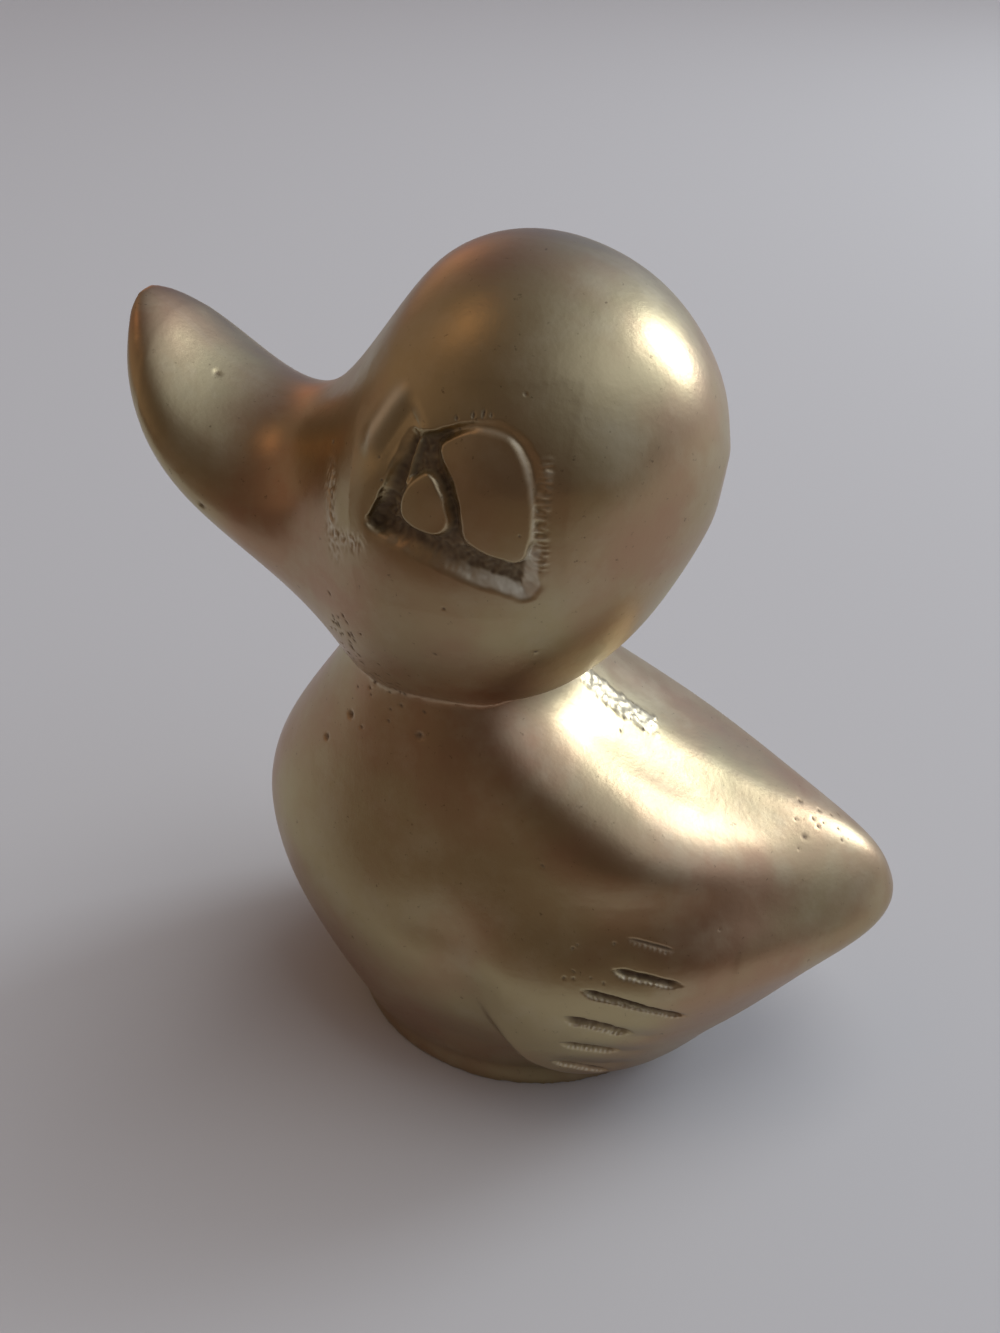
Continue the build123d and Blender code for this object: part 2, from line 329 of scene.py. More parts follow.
# Large casting pits: place, radius and depth
LARGE_PITS = (
    ((9.7, -15.2, 39.7), 0.35, 0.25),
    ((11.8, -7.4, 40.8), 0.32, 0.22),
    ((9.8, -18.3, 36.4), 0.3, 0.2),
    ((2.9, -28.7, 71.2), 0.28, 0.18),
    ((10.2, -28.3, 61.1), 0.3, 0.2),
    ((-0.4, 27.6, 29.7), 0.2, 0.12),
    ((1.2, 29.3, 29.4), 0.2, 0.1),
    ((0.6, 31.8, 28.5), 0.18, 0.1),
    ((3.6, 28.5, 29.1), 0.3, 0.06),
)

# Groups of small pits: middle, width of the group and number of pits
PIT_GROUPS = (
    ((14.5, -13.5, 52.5), 4.0, 30),
    ((12.5, -12.0, 46.0), 4.5, 40),
    ((19.5, 9.5, 22.0), 3.5, 9),
    ((1.0, 29.0, 29.5), 4.0, 8),
)
STRAY_PITS = 50

# Small pits: least radius, what the largest one has more, and depth against the radius
GROUP_PIT = (0.09, 0.10, 0.6)
STRAY_PIT = (0.10, 0.08, 0.5)
PIT_MOUTH = 1.3
PIT_SOIL = 0.85
PIT_SEED = 7

# Colours of the brass
CAST_TONES = dict(main=(0.47, 0.385, 0.22, 1), brown=(0.44, 0.285, 0.175, 1), pale=(0.56, 0.49, 0.33, 1))
BRAZE_TONES = dict(main=(0.48, 0.395, 0.23, 1), brown=(0.45, 0.295, 0.185, 1), pale=(0.57, 0.5, 0.345, 1))
SPECK_BROWN = (0.11, 0.08, 0.045, 1)
# Pale tone for bare metal, also used to paint highlights
BARE_AND_HIGHLIGHT_TONE = (0.70, 0.64, 0.49, 1)
CUT_DIRT = (0.15, 0.105, 0.062, 1)
TURNED_LIGHT = (0.66, 0.53, 0.28, 1)
TURNED_DARK = (0.58, 0.46, 0.24, 1)

# Room in metres: pale floor, which only reflections see darker on the camera's side
FLOOR_SIZE = 6
FLOOR_PALE = (0.60, 0.605, 0.61, 1)
FLOOR_SHADED = (0.26, 0.185, 0.135, 1)
FLOOR_SHADE_X = (0.055, 0.10)
FLOOR_ROUGHNESS = 0.95
BACKDROP = (0.74, 0.77, 0.82, 1)
WINDOW_WAY = (-0.60, 0.68, 0.42)
WINDOW_TINT = (0.84, 0.92, 1.0)
ABOVE_WAY = (-0.25, 0.2, 1.0)
ABOVE_TINT = (1.0, 0.99, 0.97)

# Glows of the room: direction, sharpness (0 is even all round) and colour
DIM_ROOM = ((0.0, 0.0, 1.0), 0.0, (0.085, 0.064, 0.052))
ROOM_GLOWS = (
    # Daylight in two panes
    (WINDOW_WAY, 5.5, (0.84, 0.93, 1.12)),
    ((0.1, 0.72, 0.68), 12.0, (0.55, 0.61, 0.73)),
    # Bluish far side and warm side in front of the bill
    ((-1.0, 0.15, -0.05), 3.5, (0.08, 0.13, 0.24)),
    ((0.1, -1.0, 0.25), 2.5, (0.24, 0.165, 0.12)),
    # Two small warm lamps, above and beyond the bill
    ((0.0, -0.46, 0.89), 60.0, (0.65, 0.36, 0.19)),
    ((-0.79, -0.54, 0.28), 45.0, (0.55, 0.26, 0.10)),
)

# Camera: its place and the middle of the figurine in millimetres, direction, lens, nearest sight in metres
FIGURE_MIDDLE = (0, 0, 45)
CAMERA_PLACE = (94.57, 23.57, 112.0)
CAMERA_WAY = (-0.7796, -0.2235, -0.585)
CAMERA_LENS = 32.41
CAMERA_NEAREST = 0.001


def pick(*objects):
    """Selects only these objects and makes the last one active."""
    bpy.ops.object.select_all(action="DESELECT")
    for o in objects:
        o.select_set(True)
    bpy.context.view_layer.objects.active = objects[-1]


def finish_with(piece, kind, **settings):
    """Adds a modifier, sets it and applies it."""
    modifier = piece.modifiers.new(kind, kind)
    for name, value in settings.items():
        setattr(modifier, name, value)
    pick(piece)
    bpy.ops.object.modifier_apply(modifier=modifier.name)


def cast_skin():
    """Outside of all castings and braze as one closed skin of even cells."""
    copies = []
    for name in OUTER_NODES:
        pick(frame["nodes"][name])
        bpy.ops.object.duplicate()
        copy = bpy.context.active_object
        copy.parent = None
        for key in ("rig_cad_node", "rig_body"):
            if key in copy:
                del copy[key]
        copies.append(copy)
    pick(*copies)
    bpy.ops.object.join()
    joined = bpy.context.active_object
    joined.data.materials.clear()
    bpy.ops.object.mode_set(mode="EDIT")
    bpy.ops.mesh.select_all(action="SELECT")
    bpy.ops.mesh.remove_doubles(threshold=SAME_POINT * MM)
    bpy.ops.object.mode_set(mode="OBJECT")
    finish_with(joined, "REMESH", mode="VOXEL", voxel_size=CELL * MM)
    bpy.ops.object.mode_set(mode="EDIT")
    bpy.ops.mesh.select_all(action="SELECT")
    bpy.ops.mesh.separate(type="LOOSE")
    bpy.ops.object.mode_set(mode="OBJECT")
    islands = list(bpy.context.selected_objects)
    outside = max(islands, key=lambda o: len(o.data.vertices))
    for o in islands:
        if o is not outside:
            bpy.data.objects.remove(o)
    outside.name = "skin"
    return outside


def read_points(mesh, what):
    """One vector for each point of a mesh: its place in metres ("co") or outward direction ("normal")."""
    values = np.empty(len(mesh.vertices) * 3)
    mesh.vertices.foreach_get(what, values)
    return values.reshape(-1, 3)


def in_zone(places, zone):
    """Which points lie in a zone on either side of the figurine."""
    (low_y, low_z), (high_y, high_z), least_x = zone
    x, y, z = places.T
    return (y > low_y) & (y < high_y) & (z > low_z) & (z < high_z) & (abs(x) > least_x)


def smooth_part(skin, inside, turns):
    """Smooths the points that are inside and leaves the others."""
    group = skin.vertex_groups.new(name="part")
    group.add([int(i) for i in np.flatnonzero(inside)], 1.0, "REPLACE")
    finish_with(skin, "SMOOTH", factor=SMOOTH_STEP, iterations=turns, vertex_group=group.name)
    skin.vertex_groups.clear()


def round_tip(skin):
    """Rounds the tip of the bill a little more than the rest."""
    places = read_points(skin.data, "co") / MM
    smooth_part(skin, places[:, 1] < TIP_START, TIP_ROUNDING)


def refine(skin, zone, cuts):
    """Smooths away the plain grooves of the castings in a zone and gives it finer cells."""
    inside = in_zone(read_points(skin.data, "co") / MM, zone)
    smooth_part(skin, inside, CARVING_ROUNDING)
    bpy.ops.object.mode_set(mode="EDIT")
    bpy.ops.mesh.select_all(action="DESELECT")
    bpy.ops.object.mode_set(mode="OBJECT")
    mesh = skin.data
    mesh.vertices.foreach_set("select", inside)
    corners = np.empty(len(mesh.loops), dtype=np.int32)
    mesh.loops.foreach_get("vertex_index", corners)
    starts = np.empty(len(mesh.polygons), dtype=np.int32)
    mesh.polygons.foreach_get("loop_start", starts)
    chosen = np.logical_and.reduceat(inside[corners], starts)
    mesh.polygons.foreach_set("select", chosen)
    bpy.ops.object.mode_set(mode="EDIT")
    bpy.ops.mesh.select_mode(type="FACE")
    bpy.ops.mesh.subdivide(number_cuts=cuts, smoothness=1.0)
    bpy.ops.object.mode_set(mode="OBJECT")


def rounded(path):
    """An open path with its corners cut."""
    for turn in range(CORNER_TURNS):
        finer = [path[0]]
        for a, b in zip(path, path[1:]):
            way = np.array(b) - np.array(a)
            finer += [np.array(a) + CORNER_CUT * way, np.array(b) - CORNER_CUT * way]
        path = finer + [path[-1]]
    return np.array(path)


def rounded_outline(outline):
    """A closed outline with its corners cut."""
    path = np.array(outline)
    for turn in range(CORNER_TURNS):
        after = np.roll(path, -1, axis=0)
        way = after - path
        path = np.stack((path + CORNER_CUT * way, after - CORNER_CUT * way), axis=1).reshape(-1, 2)
    return path


def follow(flat, path):
    """For flat points: distance to a path, length along it, side of it (left is +1), and its whole length."""
    best = np.full(len(flat), np.inf)
    along = np.zeros(len(flat))
    side = np.zeros(len(flat))
    done = 0.0
    for a, b in zip(path, path[1:]):
        way = b - a
        length = float(np.hypot(*way))
        t = np.clip(((flat - a) @ way) / length**2, 0, 1)
        gap = flat - (a + t[:, None] * way)
        distance = np.hypot(gap[:, 0], gap[:, 1])
        nearer = distance < best
        best[nearer] = distance[nearer]
        along[nearer] = done + t[nearer] * length
        side[nearer] = np.sign(way[0] * gap[:, 1] - way[1] * gap[:, 0])[nearer]
        done += length
    return best, along, side, done


def beyond(flat, outline):
    """Distance of flat points from a closed rounded outline: positive outside, negative inside."""
    path = rounded_outline(outline)
    distance = np.full(len(flat), np.inf)
    inside = np.zeros(len(flat), dtype=bool)
    for a, b in zip(path, np.roll(path, -1, axis=0)):
        way = b - a
        t = np.clip(((flat - a) @ way) / (way @ way), 0, 1)
        gap = flat - a - t[:, None] * way
        distance = np.minimum(distance, np.hypot(gap[:, 0], gap[:, 1]))
        crosses = (a[1] > flat[:, 1]) != (b[1] > flat[:, 1])
        slant = way[0] / (way[1] if way[1] else 1.0)
        inside ^= crosses & (flat[:, 0] < a[0] + (flat[:, 1] - a[1]) * slant)
    return np.where(inside, -distance, distance)


def uneven(places, scale):
    """Smooth noise between about -1 and 1 at each place."""
    return np.array([noise.noise(Vector(p) * scale) for p in places])


def ease(value, low, high):
    """0 below low, 1 above high, smooth between."""
    t = np.clip((value - low) / (high - low), 0, 1)
    return t * t * (3 - 2 * t)


def plateau(value, start, full, last, end):
    """0 before start and after end, 1 from full to last, smooth between."""
    return ease(value, start, full) * (1 - ease(value, last, end))


def bell(value, half):
    """1 at zero, falling softly on both sides."""
    return np.exp(-((value / half) ** 2))


def at_least(layer, chosen, values):
    """Raises a layer to these values at the chosen points where it is lower."""
    layer[chosen] = np.maximum(layer[chosen], values)


class Carving:
    """What was done to each point of the skin: form shapes it, depth cuts it, dirt marks it, and one layer
    marks bare metal together with painted highlights.
    """

    def __init__(self, skin):
        self.mesh = skin.data
        self.places = read_points(skin.data, "co") / MM
        self.outward = read_points(skin.data, "normal")
        count = len(self.places)
        self.form = np.zeros(count)
        self.depth = np.zeros(count)
        self.dirt = np.zeros(count)
        self.bare_and_highlight = np.zeros(count)

    def waver(self, chosen, grain):
        """Coarse and fine unevenness at the chosen points."""
        coarse, fine, shift = grain
        places = self.places[chosen]
        return uneven(places, coarse), uneven(places + shift, fine)

    def near(self, path, zone, reach):
        """Points of a zone near a (y, z) path: distance, length along it, if left of it, and its length."""
        chosen = np.flatnonzero(in_zone(self.places, zone))
        distance, along, side, length = follow(self.places[chosen][:, 1:], rounded(path))
        close = distance < reach
        return chosen[close], distance[close], along[close], side[close] > 0, length

    def groove(self, path, zone, left, right, depth, pointed, teeth=0.0, wide=1.0):
        """Chisel groove along a (y, z) path, with pointed ends and teeth, on both sides."""
        reach = max(left, right) * wide + GROOVE_NEAR
        chosen, distance, along, upper, length = self.near(path, zone, reach)
        rough, fine = self.waver(chosen, HAND_GRAIN)
        wide_rough, wide_fine = GROOVE_WIDTH_WAVER
        deep_rough, deep_fine = GROOVE_DEPTH_WAVER
        ends = ease(along, 0, pointed) * ease(length - along, 0, pointed)
        width = np.where(upper, left * wide, right * wide) * (1 + wide_rough * rough + wide_fine * fine)
        width = width * (GROOVE_POINT + (1 - GROOVE_POINT) * ends)
        trough = 1 - ease(distance / width, 0.0, 1.0)
        past = np.maximum(distance - TOOTH_START * width, 0)
        chatter = 0.5 + 0.5 * np.sin(along * 2 * math.pi / TOOTH_PITCH + TOOTH_WAVER * rough)
        tooth = ends * ~upper * chatter * bell(past, TOOTH_LENGTH) * (trough < TOOTH_SHALLOW)
        cut = depth * ends * trough * (1 + deep_rough * rough + deep_fine * fine) + teeth * tooth
        at_least(self.depth, chosen, cut)
        soil = GROOVE_SOIL * trough - GROOVE_SOIL_EDGE + GROOVE_SOIL_WAVER * fine * trough
        at_least(self.dirt, chosen, ends * np.clip(soil, 0, 1))
        at_least(self.bare_and_highlight, chosen, TOOTH_SHINE * tooth * (teeth > 0))

    def eye(self):
        """Sunk field of the eye with the pupil and the eyeball left standing in it, and painted highlights on
        their rims and on the lower bank, on both sides.
        """
        chosen = np.flatnonzero(in_zone(self.places, EYE_ZONE))
        flat = self.places[chosen][:, 1:]
        y, z = flat.T
        rough, fine = self.waver(chosen, HAND_GRAIN)
        field = -beyond(flat, EYE_FIELD)
        islands = np.minimum(beyond(flat, PUPIL), beyond(flat, EYEBALL))
        below = 1 - ease(z, *LOWER_TRENCH)
        deep = np.maximum(below, 1 - ease(y, *FRONT_TRENCH))
        bank = ease(field + BANK_WAVER * rough, -BANK_ROUND, BANK_SLOPE + BANK_SLOPE_BELOW * below)
        side = ease(islands + ISLAND_WAVER * rough, -ISLAND_ROUND, ISLAND_SLOPE)
        sliver = bell(follow(flat, rounded(SLIVER))[0], SLIVER_HALF)
        sunk = (EYE_SHALLOW + (EYE_DEEP - EYE_SHALLOW) * deep) * (1 - SLIVER_RISE * sliver)
        cut = sunk * bank * side * (1 + EYE_WAVER * (rough + fine * deep))
        for (hole_y, hole_z), radius in CORNER_HOLES:
            cut = cut + CORNER_HOLE_DEPTH * bell(np.hypot(y - hole_y, z - hole_z), radius)
        at_least(self.depth, chosen, cut)
        # The rear of the lower bank is lit: it gets less dirt there and a painted highlight
        lit_bank = below * ease(y, *LIT_BANK) * (1 - ease(cut, *LIT_BANK_DEPTH))
        soil = np.clip(ease(cut, *EYE_SOIL_DEPTH) * (EYE_SOIL + EYE_SOIL_WAVER * fine), 0, 1)
        at_least(self.dirt, chosen, soil * (1 - LIT_BANK_SHARE * lit_bank))
        # Painted highlight: a pale line along the rims of the pupil and the eyeball
        rim_highlight_level = RIM_HIGHLIGHT_LEAST + (RIM_HIGHLIGHT + RIM_WAVER * rough) * (1 - deep)
        rim_highlight = bell(islands - RIM_OFF, RIM_HALF) * rim_highlight_level * ease(field, *RIM_INSIDE)
        at_least(self.bare_and_highlight, chosen, np.maximum(rim_highlight, lit_bank * ease(cut, *LIT_BANK_EDGE)))

    def eye_nicks(self):
        """Row of fine nicks behind the eye, on both sides."""
        chosen = np.flatnonzero(in_zone(self.places, EYE_ZONE))
        y, z = self.places[chosen][:, 1:].T
        nicks = uneven(self.places[chosen] * np.array(NICK_STRETCH), NICK_GRAIN)
        nicks = nicks * plateau(y, *NICKED_Y) * plateau(z, *NICKED_Z)
        self.form[chosen] += NICK_DEPTH * nicks
        at_least(self.bare_and_highlight, chosen, np.clip(-NICK_TONE * nicks, 0, NICK_TONE_MOST))
        at_least(self.dirt, chosen, np.clip(NICK_TONE * nicks, 0, NICK_TONE_MOST))

    def brow(self):
        """Rounded lip in front of the eye with a painted highlight along it, with the skin behind it a little
        lower, on both sides.
        """
        chosen, distance, along, inner, length = self.near(BROW, EYE_ZONE, BROW_NEAR)
        behind = np.where(inner, distance, -distance)
        share = ease(along, 0, BROW_FADE_ABOVE) * ease(length - along, 0, BROW_FADE_BELOW)
        shelf = BROW_SHELF * plateau(behind, *BROW_SHELF_REACH)
        lip = bell(behind + BROW_LIP_OFF, BROW_LIP_HALF)
        self.form[chosen] += share * (shelf - BROW_RISE * lip)
        # Painted highlight along the lip
        at_least(self.bare_and_highlight, chosen, BROW_HIGHLIGHT * share * lip**2)

    def wing_step(self):
        """Soft valley in front of the folded wing, and its lip over the foot, on both sides."""
        height = self.places[:, 2]
        chosen = np.flatnonzero((abs(self.places[:, 0]) > WING_LEAST_X) & (height < WING_TOP))
        distance, along, side, length = follow(self.places[chosen][:, 1:], rounded(WING_EDGE))
        out = np.where(side < 0, distance, -distance)
        turned = ease(along, *TURN_TO_FOOT)
        low = turned * ease(length - along, 0.0, REAR_FADE)
        front = ease(along, *FRONT_FADE) * (1 - turned)
        valley = WING_VALLEY * bell(out - WING_VALLEY_OFF, WING_VALLEY_HALF)
        foot = FOOT_STEP * ease(out, *FOOT_STEP_EDGE) * ease(height[chosen], 0.0, FOOT_STEP_HEIGHT)
        lip = WING_LIP * ease(-out, *WING_LIP_EDGE) * np.exp(-np.maximum(-out, 0) / WING_LIP_REACH)
        self.form[chosen] += front * valley + low * (foot - lip)

    def shoulder(self):
        """Fuller crest of the left shoulder, growing from the neck towards the tail."""
        start = np.array(CREST_START)
        way = np.array(CREST_END) - start
        share = np.clip((self.places - start) @ way / (way @ way), 0, 1)
        distance = np.linalg.norm(self.places - start - share[:, None] * way, axis=1)
        rise = CREST_RISE_START + (CREST_RISE_END - CREST_RISE_START) * ease(share, 0.0, CREST_RISE_DONE)
        side = ease(self.places[:, 0], *CREST_SIDE)
        under_neck = 1 - ease(self.places[:, 2], *CREST_NECK)
        self.form -= rise * bell(distance, CREST_REACH) * side * under_neck

    def strip(self):
        """Rough crust of filler on the ridge behind the neck."""
        x, y, z = self.places.T
        along = (y > STRIP_START - STRIP_NEAR) & (y < STRIP_END + STRIP_NEAR)
        ridge = (abs(x) < STRIP_NEAR_X) & (z > STRIP_LOW) & (z < STRIP_HIGH)
        chosen = np.flatnonzero(along & ridge)
        rough, fine = self.waver(chosen, STRIP_GRAIN)
        edge = STRIP_HALF * (1 + STRIP_EDGE_WAVER * rough) - abs(x[chosen])
        inside = ease(edge, *STRIP_EDGE)
        inside = inside * ease(y[chosen], STRIP_START, STRIP_START + STRIP_START_FADE)
        inside = inside * ease(STRIP_END + rough - y[chosen], 0, STRIP_END_FADE)
        self.form[chosen] -= inside * (CRUST_RISE + CRUST_COARSE * rough + CRUST_FINE * fine)
        at_least(self.bare_and_highlight, chosen, inside * (CRUST_SHINE + CRUST_SHINE_WAVER * fine))
        border = bell(edge, BORDER_HALF) * (inside > BORDER_LEAST)
        at_least(self.dirt, chosen, np.clip(border * (BORDER_SOIL + BORDER_SOIL_WAVER * fine), 0, 1))

    def bill_root(self):
        """File and chisel marks where the bill meets the face, on both sides."""
        chosen = np.flatnonzero(in_zone(self.places, MARKS_ZONE))
        places = self.places[chosen]
        y, z = places[:, 1:].T
        rough = uneven(places * np.array(MARK_COARSE_STRETCH), MARK_COARSE_GRAIN)
        fine = uneven(places * np.array(MARK_FINE_STRETCH) + MARK_FINE_SHIFT, MARK_FINE_GRAIN)
        line_y, line_z = MARK_LINE_MIDDLE
        off_line = y - line_y - MARK_LINE_LEAN * (z - line_z)
        line = bell(off_line, MARK_LINE_HALF) * plateau(z, *MARK_LINE_Z)
        ledge_y, ledge_z = MARK_LEDGE_MIDDLE
        off_ledge = z - ledge_z - MARK_LEDGE_LEAN * (y - ledge_y)
        ledge = bell(off_ledge, MARK_LEDGE_HALF) * plateau(y, *MARK_LEDGE_Y)
        patch = np.maximum(line, ledge)
        self.form[chosen] += patch * (MARK_DEPTH + MARK_COARSE * rough + MARK_FINE * fine)
        at_least(self.bare_and_highlight, chosen, np.clip(patch * (MARK_SHINE - fine), 0, MARK_SHINE_MOST))
        at_least(self.dirt, chosen, np.clip(patch * (MARK_SOIL * fine - MARK_SOIL_START), 0, MARK_SOIL_MOST))

    def pits(self):
        """Casting pits, a few large ones by place and many small ones in groups or astray."""
        tree = kdtree.KDTree(len(self.places))
        for index, place in enumerate(self.places):
            tree.insert(place, index)
        tree.balance()
        chance = np.random.default_rng(PIT_SEED)
        holes = [(Vector(place), radius, depth) for place, radius, depth in LARGE_PITS]

        def small_pit(place, least, more, steep):
            radius = least + more * chance.random() ** 2
            holes.append((place, radius, steep * radius))

        for middle, width, count in PIT_GROUPS:
            for number in range(count):
                small_pit(Vector(middle) + Vector(chance.normal(0, width / 2, 3)), *GROUP_PIT)
        for number in range(STRAY_PITS):
            small_pit(Vector(self.places[chance.integers(len(self.places))]), *STRAY_PIT)
        for place, radius, depth in holes:
            mouth = radius * PIT_MOUTH
            for _, index, distance in tree.find_range(tree.find(place)[0], mouth):
                share = 1 - (distance / mouth) ** 2
                self.depth[index] = max(self.depth[index], depth * share)
                self.dirt[index] = max(self.dirt[index], PIT_SOIL * share)

    def done(self):
        """Moves the points and keeps dirt, bare metal and painted highlights with them for the finish."""
        moved = (self.places - self.outward * (self.form + self.depth)[:, None]) * MM
        moved[:, 2] = np.maximum(moved[:, 2], 0)
        self.mesh.vertices.foreach_set("co", moved.ravel())
        for name, values in (("dirt", self.dirt), ("bare_and_highlight", self.bare_and_highlight)):
            layer = self.mesh.attributes.new(name, "FLOAT", "POINT")
            layer.data.foreach_set("value", values)
        self.mesh.update()


def carve(skin):
    """Wing edge, left shoulder, brow, eye, feather cuts, filler strip, tool marks and pits."""
    refine(skin, EYE_ZONE, EYE_FINER)
    refine(skin, ROOT_ZONE, ROOT_FINER)
    refine(skin, WING_ZONE, WING_FINER)
    work = Carving(skin)
    work.wing_step()
    work.shoulder()
    work.brow()
    work.eye()
    work.eye_nicks()
    for path in ARCH_SCRATCHES:
        work.groove(path, EYE_ZONE, **SCRATCH)
    for path, wide in FEATHER_CUTS:
        work.groove(path, WING_ZONE, **FEATHER, wide=wide)
    work.groove(FAINT_CUT, WING_ZONE, **FAINT)
    work.strip()
    work.bill_root()
    work.pits()
    work.done()


def new_finish(name):
    """A new material, its nodes and its shader."""
    material = bpy.data.materials.new(name)
    material.use_nodes = True
    return material, material.node_tree, material.node_tree.nodes["Principled BSDF"]


def node(tree, kind, **inputs):
    """Adds a shader node with the given input values."""
    made = tree.nodes.new(kind)
    for name, value in inputs.items():
        made.inputs[name.replace("_", " ")].default_value = value
    return made


def coordinates(tree, kind):
    """Coordinates of one kind at each point."""
    return tree.nodes.new("ShaderNodeTexCoord").outputs[kind]


def blended(tree, share, first, second):
    """Mixes two colours by a share."""
    mix = tree.nodes.new("ShaderNodeMix")
    mix.data_type = "RGBA"
    tree.links.new(share, mix.inputs[0])
    for value, socket in ((first, mix.inputs[6]), (second, mix.inputs[7])):
        if isinstance(value, tuple):
            socket.default_value = value
        else:
            tree.links.new(value, socket)
    return mix.outputs[2]


def spread(tree, value, low, high, from_low=0.0, from_high=1.0):
    """Maps a value onto another range and keeps it there."""
    ranges = {"From_Min": from_low, "From_Max": from_high, "To_Min": low, "To_Max": high}
    step = node(tree, "ShaderNodeMapRange", **ranges)
    tree.links.new(value, step.inputs["Value"])
    return step.outputs["Result"]


def worked_out(tree, operation, first, second):
    """One number worked out from two."""
    step = tree.nodes.new("ShaderNodeMath")
    step.operation = operation
    tree.links.new(first, step.inputs[0])
    tree.links.new(second, step.inputs[1])
    return step.outputs[0]


def aged_brass(name, main, brown, pale):
    """Handled satin brass: brown and pale clouds, specks, dirt in every cut, bare metal on rubbed edges, and
    painted highlights on the brow and around the eye.
    """
    material, tree, shader = new_finish(name)
    links = tree.links
    place = coordinates(tree, "Object")

    def cloud(scale, detail, roughness=0.5):
        made = node(tree, "ShaderNodeTexNoise", Scale=scale, Detail=detail, Roughness=roughness)
        links.new(place, made.inputs["Vector"])
        return made.outputs["Fac"]

    def mark(layer):
        made = tree.nodes.new("ShaderNodeAttribute")
        made.attribute_name = layer
        return made.outputs["Fac"]

    def bumps(height, strength, distance):
        made = node(tree, "ShaderNodeBump", Strength=strength, Distance=distance)
        links.new(height, made.inputs["Height"])
        return made

    dirt = mark("dirt")
    bare_and_highlight = mark("bare_and_highlight")
    clouds = cloud(scale=55, detail=4)
    veil = cloud(scale=140, detail=5, roughness=0.6)
    specks = cloud(scale=1500, detail=3, roughness=0.7)
    colour = blended(tree, spread(tree, clouds, 0, 1, from_low=0.42, from_high=0.62), main, brown)
    colour = blended(tree, spread(tree, veil, 0, 0.55, from_low=0.5, from_high=0.75), colour, pale)
    colour = blended(tree, spread(tree, specks, 0, 0.55, from_low=0.66, from_high=0.74), colour, SPECK_BROWN)
    # Pale tone where metal is bare and where highlights are painted
    colour = blended(tree, bare_and_highlight, colour, BARE_AND_HIGHLIGHT_TONE)
    colour = blended(tree, dirt, colour, CUT_DIRT)
    links.new(colour, shader.inputs["Base Color"])

    satin = spread(tree, veil, 0.28, 0.40, from_low=0.3, from_high=0.7)
    roughness = worked_out(tree, "ADD", satin, spread(tree, dirt, 0.0, 0.35))
    links.new(roughness, shader.inputs["Roughness"])
    metal = worked_out(tree, "MULTIPLY", spread(tree, dirt, 1.0, 0.45), spread(tree, bare_and_highlight, 1.0, 0.55))
    links.new(metal, shader.inputs["Metallic"])

    dents = bumps(cloud(scale=260, detail=3), strength=0.10, distance=0.6 * MM)
    grain = bumps(cloud(scale=2600, detail=2), strength=0.09, distance=0.1 * MM)
    links.new(dents.outputs["Normal"], grain.inputs["Normal"])
    links.new(grain.outputs["Normal"], shader.inputs["Normal"])
    return material


def turned_brass():
    """Clean machined brass for the sleeve inside the neck."""
    material, tree, shader = new_finish("turned brass")
    tone = node(tree, "ShaderNodeTexNoise", Scale=900.0, Detail=2.0)
    tree.links.new(coordinates(tree, "Object"), tone.inputs["Vector"])
    share = tone.outputs["Fac"]
    tree.links.new(blended(tree, share, TURNED_LIGHT, TURNED_DARK), shader.inputs["Base Color"])
    tree.links.new(spread(tree, share, 0.2, 0.35), shader.inputs["Roughness"])
    shader.inputs["Metallic"].default_value = 1
    return material


def cut_out(skin, name, planes, material, cad_node):
    """One closed piece of the skin between planes, each given as a point and the direction that is kept."""
    pick(skin)
    bpy.ops.object.duplicate()
    piece = bpy.context.active_object
    piece.name = name
    piece.data.name = name
    bpy.ops.object.mode_set(mode="EDIT")
    for point, kept in planes:
        bpy.ops.mesh.select_all(action="SELECT")
        bpy.ops.mesh.bisect(
            plane_co=tuple(c * MM for c in point),
            plane_no=kept,
            use_fill=True,
            clear_inner=True,
            threshold=SAW_REACH * MM,
        )
    bpy.ops.object.mode_set(mode="OBJECT")
    piece.data.materials.append(material)
    pick(piece)
    bpy.ops.object.shade_smooth_by_angle(angle=math.radians(CREASE_DEGREES))
    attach(piece, "root")
    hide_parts(cad_node)


def pieces_of(skin):
    """Cuts the carved skin along the seams into the pieces that were brazed together."""
    cast = aged_brass("aged cast brass", **CAST_TONES)
    braze = aged_brass("aged braze", **BRAZE_TONES)
    low = ((0, 0, NECK_LOW), (0, 0, -1))
    high = ((0, 0, NECK_HIGH), (0, 0, 1))
    left = ((SEAM_HALF, 0, 0), (1, 0, 0))
    right = ((-SEAM_HALF, 0, 0), (-1, 0, 0))
    seam = (((SEAM_HALF, 0, 0), (-1, 0, 0)), ((-SEAM_HALF, 0, 0), (1, 0, 0)))
    ring = (((0, 0, NECK_LOW), (0, 0, 1)), ((0, 0, NECK_HIGH), (0, 0, -1)))
    cut_out(skin, "body_left", (low, left), cast, "body_left_casting")
    cut_out(skin, "body_right", (low, right), cast, "body_right_casting")
    cut_out(skin, "body_seam", (low,) + seam, braze, "body_seam_braze")
    cut_out(skin, "head_left", (high, left), cast, "head_left_casting")
    cut_out(skin, "head_right", (high, right), cast, "head_right_casting")
    cut_out(skin, "head_seam", (high,) + seam, braze, "head_seam_braze")
    cut_out(skin, "neck_ring", ring, braze, "neck_braze_ring")
    bpy.data.objects.remove(skin)
    sleeve = frame["nodes"]["neck_spigot"]
    sleeve.data.materials.clear()
    sleeve.data.materials.append(turned_brass())


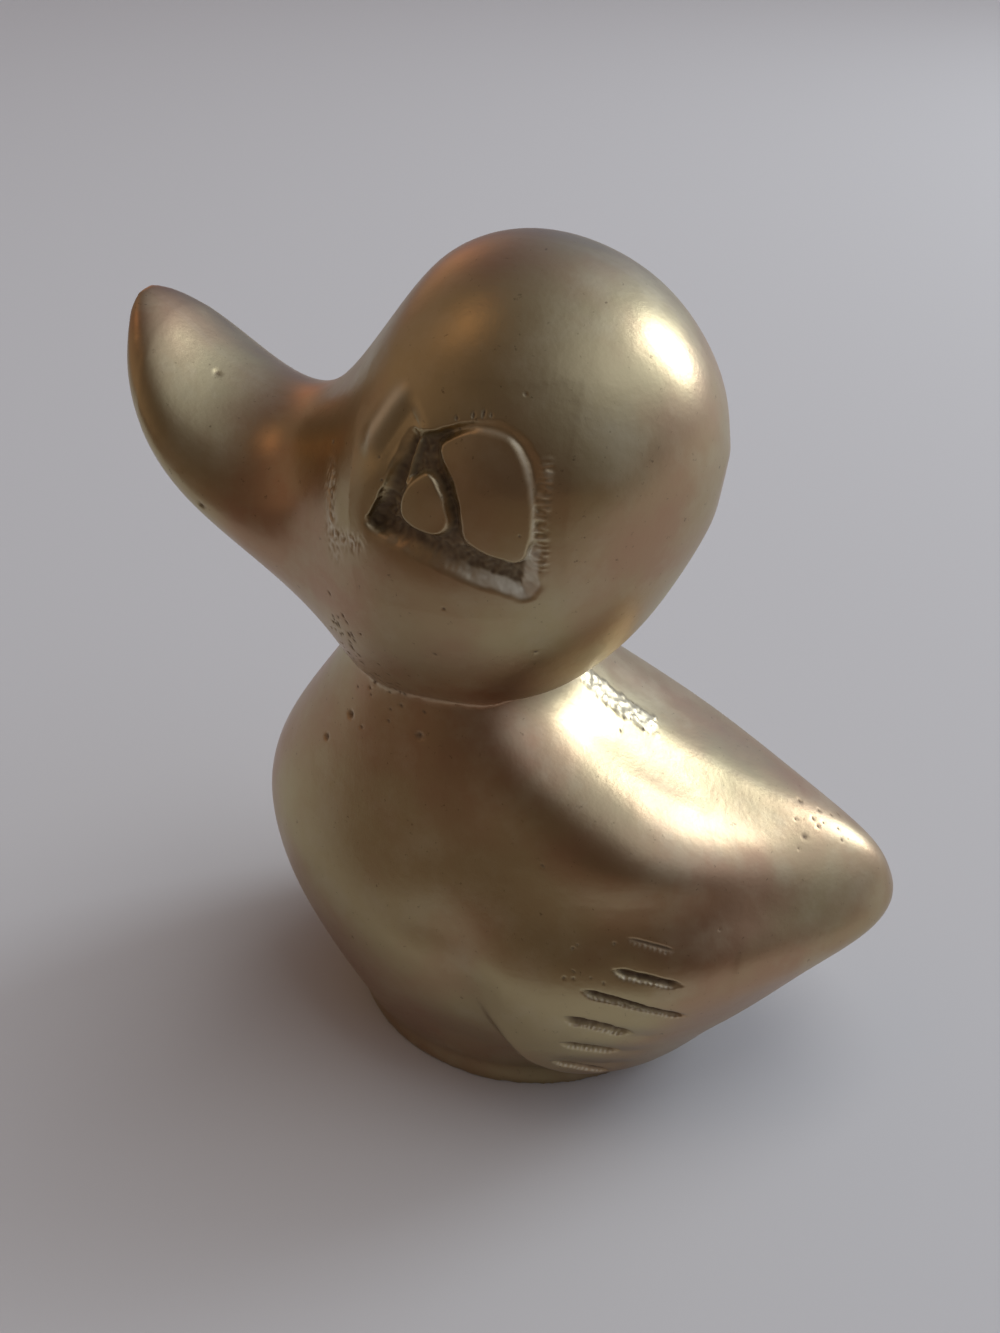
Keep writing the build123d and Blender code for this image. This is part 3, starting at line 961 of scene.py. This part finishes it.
def lay_floor():
    """Pale floor, darker on the camera's side in reflections only."""
    bpy.ops.object.select_all(action="DESELECT")
    bpy.ops.mesh.primitive_plane_add(size=FLOOR_SIZE, location=(0, 0, 0))
    floor = bpy.context.active_object
    floor.name = "floor"
    paint, tree, shader = new_finish("pale floor")
    split = tree.nodes.new("ShaderNodeSeparateXYZ")
    tree.links.new(coordinates(tree, "Object"), split.inputs["Vector"])
    shade_start, shade_full = FLOOR_SHADE_X
    camera_side = spread(tree, split.outputs["X"], 0, 1, from_low=shade_start, from_high=shade_full)
    mirrored = tree.nodes.new("ShaderNodeLightPath").outputs["Is Glossy Ray"]
    shade = worked_out(tree, "MULTIPLY", camera_side, mirrored)
    tree.links.new(blended(tree, shade, FLOOR_PALE, FLOOR_SHADED), shader.inputs["Base Color"])
    shader.inputs["Roughness"].default_value = FLOOR_ROUGHNESS
    floor.data.materials.append(paint)


def glow(tree, way, sharpness, colour):
    """Soft light in a world shader that comes from one direction and fades to the sides."""
    toward = tree.nodes.new("ShaderNodeVectorMath")
    toward.operation = "DOT_PRODUCT"
    toward.inputs[1].default_value = Vector(way).normalized()
    tree.links.new(coordinates(tree, "Generated"), toward.inputs[0])
    off = tree.nodes.new("ShaderNodeMath")
    off.operation = "MULTIPLY_ADD"
    tree.links.new(toward.outputs["Value"], off.inputs[0])
    off.inputs[1].default_value = sharpness
    off.inputs[2].default_value = -sharpness
    level = tree.nodes.new("ShaderNodeMath")
    level.operation = "EXPONENT"
    tree.links.new(off.outputs[0], level.inputs[0])
    lit = tree.nodes.new("ShaderNodeVectorMath")
    lit.operation = "SCALE"
    lit.inputs[0].default_value = colour
    tree.links.new(level.outputs[0], lit.inputs["Scale"])
    return lit.outputs["Vector"]


def panel_light(name, way, colour, distance, width, height, energy):
    """Area lamp that looks at the figurine from a direction."""
    light = bpy.data.lights.new(name, "AREA")
    light.shape = "RECTANGLE"
    light.size = width
    light.size_y = height
    light.energy = energy
    light.color = colour
    lamp = bpy.data.objects.new(name, light)
    bpy.context.scene.collection.objects.link(lamp)
    aim = Vector(way).normalized()
    lamp.location = Vector(FIGURE_MIDDLE) * MM + aim * distance
    lamp.rotation_euler = aim.to_track_quat("Z", "Y").to_euler()
    return lamp


def light_room():
    """Dim room with its glows and a plain backdrop, light from the window and soft light from above."""
    world = bpy.data.worlds.new("room")
    bpy.context.scene.world = world
    world.use_nodes = True
    tree = world.node_tree
    room = glow(tree, *DIM_ROOM)
    for way, sharpness, colour in ROOM_GLOWS:
        both = tree.nodes.new("ShaderNodeVectorMath")
        both.operation = "ADD"
        tree.links.new(room, both.inputs[0])
        tree.links.new(glow(tree, way, sharpness, colour), both.inputs[1])
        room = both.outputs["Vector"]
    seen = tree.nodes.new("ShaderNodeLightPath").outputs["Is Camera Ray"]
    tree.links.new(blended(tree, seen, room, BACKDROP), tree.nodes["Background"].inputs["Color"])
    panel_light("window", WINDOW_WAY, WINDOW_TINT, distance=0.9, width=0.24, height=0.36, energy=2.8)
    above = panel_light("above", ABOVE_WAY, ABOVE_TINT, distance=1.5, width=1.0, height=1.0, energy=6.0)
    above.visible_glossy = False


def place_camera():
    """Camera at the figurine's left, a little behind it and above."""
    sight = bpy.data.cameras.new("camera")
    sight.lens = CAMERA_LENS
    sight.clip_start = CAMERA_NEAREST
    camera = bpy.data.objects.new("camera", sight)
    bpy.context.scene.collection.objects.link(camera)
    camera.location = Vector(CAMERA_PLACE) * MM
    camera.rotation_euler = Vector(CAMERA_WAY).to_track_quat("-Z", "Y").to_euler()
    bpy.context.scene.camera = camera
    bpy.context.scene.view_settings.view_transform = "Standard"


skin = cast_skin()
finish_with(skin, "SMOOTH", factor=SMOOTH_STEP, iterations=CAST_ROUNDING)
round_tip(skin)
carve(skin)
pieces_of(skin)
lay_floor()
light_room()
place_camera()
